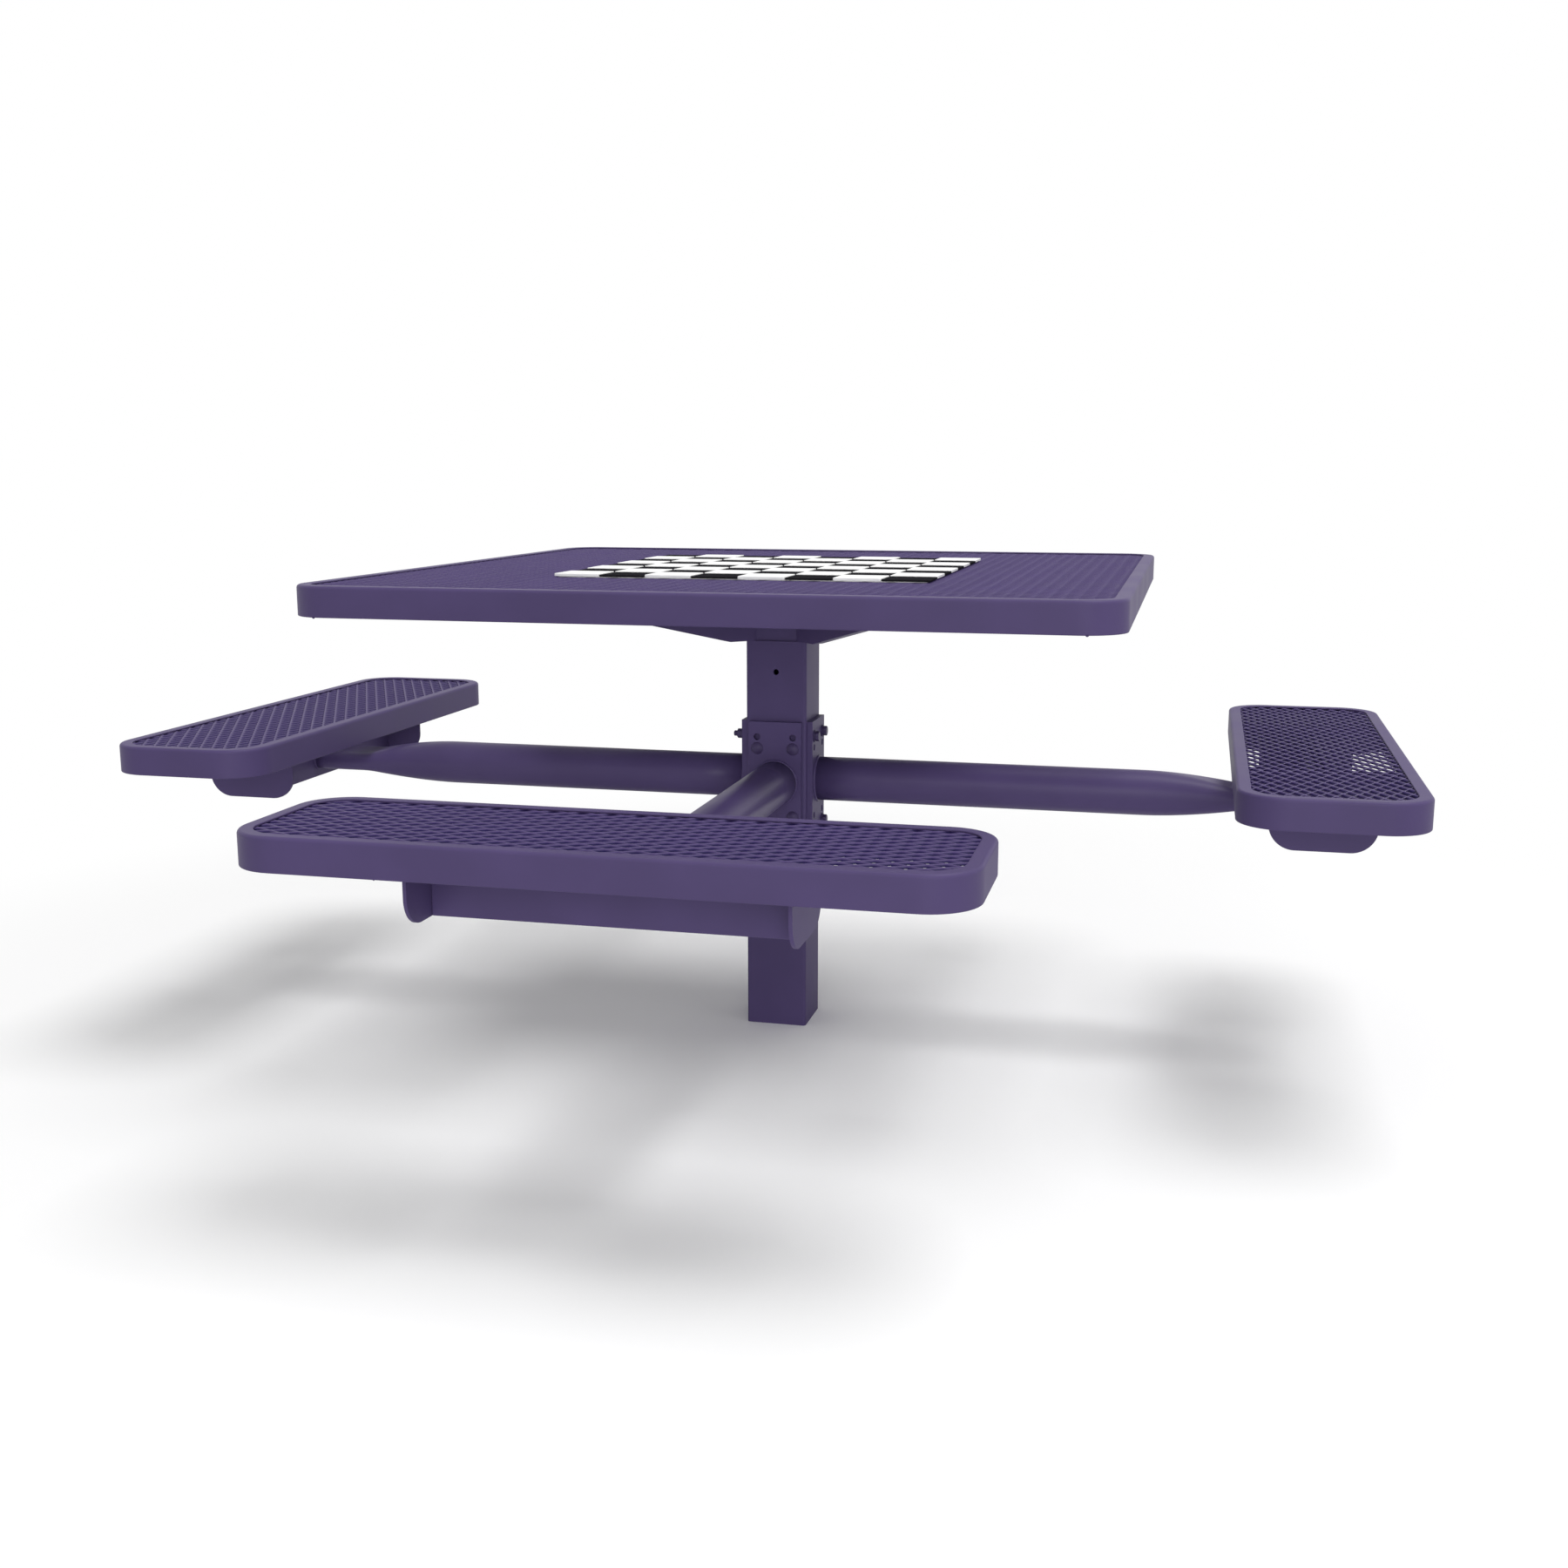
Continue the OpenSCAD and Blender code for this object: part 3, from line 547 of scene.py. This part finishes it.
def armSurface(arm):
    # rings along the tube, closer together where it is squeezed, with a flat cap at each end
    closeFrom, closeTo = arm["squeezeFrom"] - arm["margin"], arm["squeezeTo"] + arm["margin"]
    before, within, after = arm["rings"]
    x = np.unique(np.concatenate([np.linspace(arm["start"], closeFrom, before),
                                  np.linspace(closeFrom, closeTo, within),
                                  np.linspace(closeTo, arm["end"], after)]))
    y, z = stadiumRing(tubeThickness(x, arm), arm, arm["halfPoints"])
    points = np.stack([np.broadcast_to(x[:, None], y.shape), y, z + arm["height"]], -1)
    ends = [[x[0], 0, arm["height"]], [x[-1], 0, arm["height"]]]
    return np.concatenate([points.reshape(-1, 3), ends]), cappedFaces(*y.shape)


def beadSurface(path, radius, seed):
    # a small round bead along a closed path: radius (1 + sum of share sin(rate step + times seed))
    path = np.asarray(path, float)
    along = np.roll(path, -1, 0) - np.roll(path, 1, 0)
    along /= np.linalg.norm(along, axis=1, keepdims=True)
    centre = path.mean(0)
    across = path - centre
    across -= (across * along).sum(1, keepdims=True) * along
    across /= np.linalg.norm(across, axis=1, keepdims=True)
    up = np.cross(along, across)
    steps = np.arange(len(path))
    r = radius * (1 + sum(share * np.sin(steps * rate + times * seed)
                          for share, rate, times in weld["ripples"]))
    a = np.radians(np.arange(weld["sides"]) * 360 / weld["sides"])[:, None]
    points = path[:, None] + r[:, None, None] * (across[:, None] * np.cos(a) + up[:, None] * np.sin(a))
    return points.reshape(-1, 3), gridFaces(len(path), len(a), True, True)


def resampledLoop(loop, count):
    # evenly spaced points along a closed line
    closed = np.concatenate([loop, loop[:1]])
    length = np.concatenate([[0], np.cumsum(np.linalg.norm(np.diff(closed, axis=0), axis=1))])
    at = np.linspace(0, length[-1], count, endpoint=False)
    return np.stack([np.interp(at, length, closed[:, k]) for k in range(3)], -1)


# the welds run round the tube's section at the hub and at the bench's bar
weldEnds = ((armTube["diameter"], armTube["start"] + weld["sunk"], weld["hubBead"], weld["hubPoints"]),
            (armTube["flat"], armTube["end"] - weld["sunk"], weld["barBead"], weld["barPoints"]))
parts = [armSurface(armTube)]
for seed, (thickness, x, bead, count) in enumerate(weldEnds, 1):
    y, z = stadiumRing(np.array([thickness]), armTube, armTube["halfPoints"])
    loop = np.stack([np.full(y.size, x), y[0], z[0] + armTube["height"]], -1)
    parts.append(beadSurface(resampledLoop(loop, count), bead, seed))
points, faces = joined(parts)
for side, turns in seatTurns.items():
    piece = surfaceObject(side + "Arm", turnedAbout(points, turns), faces, tubeCoating)
    placed(piece, "coated_frame", "arm_" + side)
print("arms made")


# Folded and cut pieces: copies of the frame's solids with the coating's rounded edges

coatingEdge = {
    "merge": 1e-6,              # m
    "flatAngle": 0.5,           # degrees, below which neighbouring faces become one
    "sharpAngle": 32,           # degrees, above which an edge is rounded
    "steps": 2,
    # radius in metres by what the node's name holds
    "radius": {"post": 0.0008, "mount_sleeve": 0.0008, "hub_plate": 0.0014, "wing": 0.0012,
               "brace": 0.0012, "bar": 0.0014, "bracket": 0.0014, "strap": 0.0010},
    "squares": 0.0008, "boardBase": 0.0003, "nuts": 0.0004,
}


def roundedCopy(node, radius, material, slotName, steps=coatingEdge["steps"]):
    # merged copy of a node whose sharp edges get the coating's radius
    name = "".join(w.capitalize() if k else w for k, w in enumerate(node.split("_"))) + "Coated"
    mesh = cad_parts[node].data.copy()
    mesh.name = name
    work = bmesh.new()
    work.from_mesh(mesh)
    bmesh.ops.remove_doubles(work, verts=work.verts, dist=coatingEdge["merge"])
    bmesh.ops.dissolve_limit(work, angle_limit=math.radians(coatingEdge["flatAngle"]), verts=work.verts,
                             edges=work.edges)
    work.to_mesh(mesh)
    work.free()
    mesh.polygons.foreach_set("use_smooth", np.ones(len(mesh.polygons), bool))
    if "custom_normal" in mesh.attributes:
        mesh.attributes.remove(mesh.attributes["custom_normal"])
    mesh.materials.clear()
    mesh.materials.append(material)
    piece = bpy.data.objects.new(name, mesh)
    bpy.context.scene.collection.objects.link(piece)
    bevel = piece.modifiers.new("coatingEdge", "BEVEL")
    bevel.width = radius
    bevel.segments = steps
    bevel.limit_method = "ANGLE"
    bevel.angle_limit = math.radians(coatingEdge["sharpAngle"])
    bevel.harden_normals = True
    placed(piece, slotName, node)


for node in sorted(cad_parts):
    for key, radius in coatingEdge["radius"].items():
        if key in node:
            roundedCopy(node, radius, frameCoating, "coated_frame")
            break
roundedCopy("white_squares", coatingEdge["squares"], whitePlastic, "board_white")
roundedCopy("board_base", coatingEdge["boardBase"], whitePlastic, "board_white")
roundedCopy("dark_squares", coatingEdge["squares"], blackPlastic, "board_black")
print("folded pieces rounded")


# Straps: each has a lip turned down along its outer edge, in two halves clear of the bracket between them

# drop is the lip's depth at the bracket, rise is how much shallower its tip is
strapLip = {"sheet": 0.0032, "drop": 0.0410, "rise": 0.0070, "gap": 0.0002, "bend": 0.0008, "bendSteps": 2}


def slabSurface(low, high):
    # closed box between two corners
    points = np.stack(np.meshgrid(*zip(low, high), indexing="ij"), -1).reshape(-1, 3)
    sides = [[0, 1, 3, 2], [4, 6, 7, 5], [0, 4, 5, 1], [2, 3, 7, 6], [0, 2, 6, 4], [1, 5, 7, 3]]
    return points, np.array(sides)


for side, turns in seatTurns.items():
    parts = []
    for end, outer in (("rear", 1), ("front", 0)):
        strap, bracket = (np.array(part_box(f"right_seat_{end}_{kind}")) for kind in ("strap", "bracket"))
        edge = np.sort([strap[outer, 1], strap[outer, 1] + strapLip["sheet"] * (1 - 2 * outer)])
        top = bracket[1, 2]
        bottom = top - strapLip["drop"]
        for x0, x1, tip in ((strap[0, 0], bracket[0, 0] - strapLip["gap"], strap[0, 0]),
                            (bracket[1, 0] + strapLip["gap"], strap[1, 0], strap[1, 0])):
            slab, slabFaces = slabSurface((x0, edge[0], bottom), (x1, edge[1], top))
            # the lip's lower edge rises towards its tip
            slab[(slab[:, 0] == tip) & (slab[:, 2] == bottom), 2] += strapLip["rise"]
            parts.append((slab, slabFaces))
    points, faces = joined(parts)
    piece = surfaceObject(side + "StrapLips", turnedAbout(points, turns), faces, frameCoating, False)
    bevel = piece.modifiers.new("coatingEdge", "BEVEL")
    bevel.width = strapLip["bend"]
    bevel.segments = strapLip["bendSteps"]
    placed(piece, "coated_frame")
print("strap lips made")


# Fasteners

bolt = {
    "face": 0.0603,             # m from the post's axis to a hub plate's outer face
    "height": armTube["height"], "column": 0.0302, "outerRow": 0.0762, "innerRow": 0.05715,
    "shank": 0.0095, "end": 0.0065,     # diameter, and length past the nut
    "nut": 0.0083, "washer": 0.002,
    "dome": 0.0206, "domeHeight": 0.0048, "domeRings": 10, "domePoints": 40, "domeRound": 0.0003,
    "domeTop": 0.00005,         # the last ring stops this far below the dome's top
}
hexHead = {
    "height": 0.0064, "acrossFlats": 0.0143, "chamfer": 0.0006, "points": 48,
    # largest radius at the foot, near the top and at the top, as shares of half the flats
    "footShare": 1.12, "shoulderShare": 1.03, "topShare": 0.96,
    "shoulderDrop": 0.15,       # share of the chamfer between shoulder and top
}
thread = {
    "pitch": 0.0016, "depth": 0.0005, "length": 0.012, "steps": 4, "points": 20,
    "runOut": 0.0012,           # m before the bolt's end where the ridges stop
    "endFrom": 0.0010, "endStep": 0.0002, "endCut": 0.0014,     # the end's chamfer
}


def lathed(profile, count):
    # (along, radius) profile turned about the x axis
    profile = np.asarray(profile, float)
    a = np.radians(np.arange(count) * 360 / count)
    points = np.stack([np.broadcast_to(profile[:, :1], (len(profile), count)), profile[:, 1:] * np.cos(a),
                       profile[:, 1:] * np.sin(a)], -1)
    points = np.concatenate([points.reshape(-1, 3), [[profile[0, 0], 0, 0], [profile[-1, 0], 0, 0]]])
    return points, cappedFaces(len(profile), count)


def hexPrism(low, high):
    # hexagon whose corners a cone cuts: radius = half / cos(angle from a flat), or the cone's if less
    count, half, chamfer = hexHead["points"], hexHead["acrossFlats"] / 2, hexHead["chamfer"]
    a = np.radians(np.arange(count) * 360 / count)
    flat = half / np.cos((a + math.pi / 6) % (math.pi / 3) - math.pi / 6)
    rings = [(low, np.minimum(flat, half * hexHead["footShare"])),
             (low + chamfer, flat),
             (high - chamfer, flat),
             (high - chamfer * hexHead["shoulderDrop"], np.minimum(flat, half * hexHead["shoulderShare"])),
             (high, np.full(count, half * hexHead["topShare"]))]
    points = [np.stack([np.full(count, x), r * np.cos(a), r * np.sin(a)], -1) for x, r in rings]
    points.append([[low, 0, 0], [high, 0, 0]])
    return np.concatenate(points), cappedFaces(len(rings), count)


def threadedShank(start, threadFrom, end, radius):
    # plain shank, then ridges a pitch apart: radius swings between crest and root, with a cut end
    x = np.arange(threadFrom, end - thread["runOut"], thread["pitch"] / thread["steps"])
    root = np.arange(len(x)) % thread["steps"] >= thread["steps"] / 2
    profile = [(start, radius), (threadFrom - thread["depth"], radius),
               *zip(x, radius - thread["depth"] * root),
               (end - thread["endFrom"], radius - thread["endStep"]), (end, radius - thread["endCut"])]
    return lathed(profile, thread["points"])


def boltSet(row, headKind):
    # four bolts along X: heads outside the plate at +X, threads through the nuts at the other
    face = bolt["face"] + bolt["washer"]
    if headKind == "hex":
        head = hexPrism(face, face + hexHead["height"])
    else:
        # cap of a sphere: radius = (width^2 / 4 + height^2) / (2 height)
        radius = (bolt["dome"] ** 2 / 4 + bolt["domeHeight"] ** 2) / (2 * bolt["domeHeight"])
        h = np.linspace(0, bolt["domeHeight"] - bolt["domeTop"], bolt["domeRings"])
        r = np.sqrt(np.maximum(radius ** 2 - (radius - bolt["domeHeight"] + h) ** 2, 0))
        head = lathed([(bolt["face"], bolt["dome"] / 2 - bolt["domeRound"]), *zip(bolt["face"] + h, r)],
                      bolt["domePoints"])
    body = threadedShank(-bolt["face"], bolt["face"] - thread["length"], face + bolt["nut"] + bolt["end"],
                         bolt["shank"] / 2)
    body = (body[0] * [-1, 1, 1], body[1][:, ::-1])     # mirrored, so its faces are turned round as well
    parts = []
    for y in (-bolt["column"], bolt["column"]):
        for z in (-row, row):
            for p, f in (head, body):
                # a triangle's doubled corner goes last
                f = np.where(f[:, :1] == f[:, 1:2], f[:, [2, 3, 0, 0]], f)
                parts.append((p + [0, y, z + bolt["height"]], f))
    return joined(parts)


points, faces = boltSet(bolt["outerRow"], "hex")
placed(surfaceObject("sideBolts", points, faces, boltCoating, False), "coated_fasteners", "side_bolts")
points, faces = boltSet(bolt["innerRow"], "dome")
piece = surfaceObject("crossBolts", turnedAbout(points, seatTurns["front"]), faces, boltCoating)
placed(piece, "coated_fasteners", "cross_bolts")
for node in sorted(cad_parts):
    if "nuts" in node or "washers" in node:
        roundedCopy(node, coatingEdge["nuts"], boltCoating, "coated_fasteners", steps=1)
print("fasteners made")


# Floor, light and camera

studio = {
    "worldLight": 0.40, "white": (1, 1, 1, 1),
    "floorColour": "#e8e8e8", "floorShown": 1.0, "floorHalf": 40,
    "fadeFrom": 1.45, "fadeTo": 2.1,    # m from the post, where the floor turns to plain white
}

floorMesh = bpy.data.meshes.new("studioFloor")
far = studio["floorHalf"]
floorMesh.from_pydata([(-far, -far, 0), (far, -far, 0), (far, far, 0), (-far, far, 0)], [], [(0, 1, 2, 3)])
floor = bpy.data.objects.new("studioFloor", floorMesh)
bpy.context.scene.collection.objects.link(floor)
floorPaint = bpy.data.materials.new("paleStudioFloor")
floorPaint.use_nodes = True
tree = floorPaint.node_tree
tree.nodes.remove(tree.nodes["Principled BSDF"])
# the camera sees a white floor with the object's shadow, which turns to plain white further out
ray = addNode(tree, "ShaderNodeLightPath")
ground = linearColour(studio["floorColour"])[0]
shade = addNode(tree, "ShaderNodeMapRange", inputs={"To Min": ground, "To Max": studio["floorShown"]},
                links={"Value": (ray, "Is Camera Ray")})
tint = addNode(tree, "ShaderNodeCombineColor",
               links={channel: (shade, "Result") for channel in ("Red", "Green", "Blue")})
matt = addNode(tree, "ShaderNodeBsdfDiffuse", links={"Color": (tint, "Color")})
place = addNode(tree, "ShaderNodeTexCoord")
radius = addNode(tree, "ShaderNodeVectorMath", {"operation": "LENGTH"}, links={0: (place, "Object")})
away = addNode(tree, "ShaderNodeMapRange", {"interpolation_type": "SMOOTHSTEP"},
               {"From Min": studio["fadeFrom"], "From Max": studio["fadeTo"]},
               {"Value": (radius, "Value")})
looked = addNode(tree, "ShaderNodeMath", {"operation": "MAXIMUM"},
                 links={0: (ray, "Is Camera Ray"), 1: (ray, "Is Glossy Ray")})
looked = addNode(tree, "ShaderNodeMath", {"operation": "MAXIMUM"},
                 links={0: (looked, 0), 1: (ray, "Is Transmission Ray")})
seen = addNode(tree, "ShaderNodeMath", {"operation": "MULTIPLY"},
               links={0: (away, "Result"), 1: (looked, 0)})
plain = addNode(tree, "ShaderNodeEmission", inputs={"Color": studio["white"], "Strength": 1.0})
surface = addNode(tree, "ShaderNodeMixShader", links={"Fac": (seen, 0), 1: (matt, 0), 2: (plain, 0)})
tree.links.new(surface.outputs[0], tree.nodes["Material Output"].inputs["Surface"])
floorMesh.materials.append(floorPaint)

# the camera and mirror rays see a white world, and the object is lit by a dimmer one
world = bpy.data.worlds.new("whiteStudio")
bpy.context.scene.world = world
world.use_nodes = True
tree = world.node_tree
ray = addNode(tree, "ShaderNodeLightPath")
shown = addNode(tree, "ShaderNodeMath", {"operation": "MAXIMUM"},
                links={0: (ray, "Is Camera Ray"), 1: (ray, "Is Transmission Ray")})
shown = addNode(tree, "ShaderNodeMath", {"operation": "MAXIMUM"},
                links={0: (shown, 0), 1: (ray, "Is Glossy Ray")})
power = addNode(tree, "ShaderNodeMapRange", inputs={"To Min": studio["worldLight"], "To Max": 1.0},
                links={"Value": (shown, 0)})
background = tree.nodes["Background"]
background.inputs["Color"].default_value = studio["white"]
tree.links.new(power.outputs["Result"], background.inputs["Strength"])

# level is the share of plain daylight that a lamp gives below it: watts = level pi^2 distance^2
lamps = {"keyBox": {"place": (5.20, 0.4, 18.0), "level": 0.64, "size": 9.0},
         "frontBox": {"place": (1.6, -6.5, 1.9), "level": 0.30, "size": 3.4},
         "sideBox": {"place": (6.2, -2.2, 1.7), "level": 0.05, "size": 3.0}}
lampTarget = np.array([0, 0, 0.5])
for name, lamp in lamps.items():
    place = np.array(lamp["place"])
    distance = np.linalg.norm(place - lampTarget)
    data = bpy.data.lights.new(name, "AREA")
    data.shape = "DISK"
    data.size = lamp["size"]
    data.energy = lamp["level"] * math.pi ** 2 * distance ** 2
    box = bpy.data.objects.new(name, data)
    box.location = lamp["place"]
    aim = (lampTarget - place) / distance
    box.rotation_euler = (math.acos(-aim[2]), 0, math.atan2(-aim[0], aim[1]))
    bpy.context.scene.collection.objects.link(box)

photoView = {"place": (0.66957, -2.72752, 0.93873), "yaw": 0.24037, "pitchDown": 0.1871, "lens": 38.801,
             "sensor": 36, "near": 0.05, "far": 200}
cameraData = bpy.data.cameras.new("photoCamera")
cameraData.lens = photoView["lens"]
cameraData.sensor_width = photoView["sensor"]
camera = bpy.data.objects.new("photoCamera", cameraData)
camera.location = photoView["place"]
camera.rotation_euler = (math.pi / 2 - photoView["pitchDown"], 0, photoView["yaw"])
cameraData.clip_start = photoView["near"]
cameraData.clip_end = photoView["far"]
bpy.context.scene.collection.objects.link(camera)
bpy.context.scene.camera = camera
bpy.context.scene.view_settings.view_transform = "Standard"
print("studio ready")
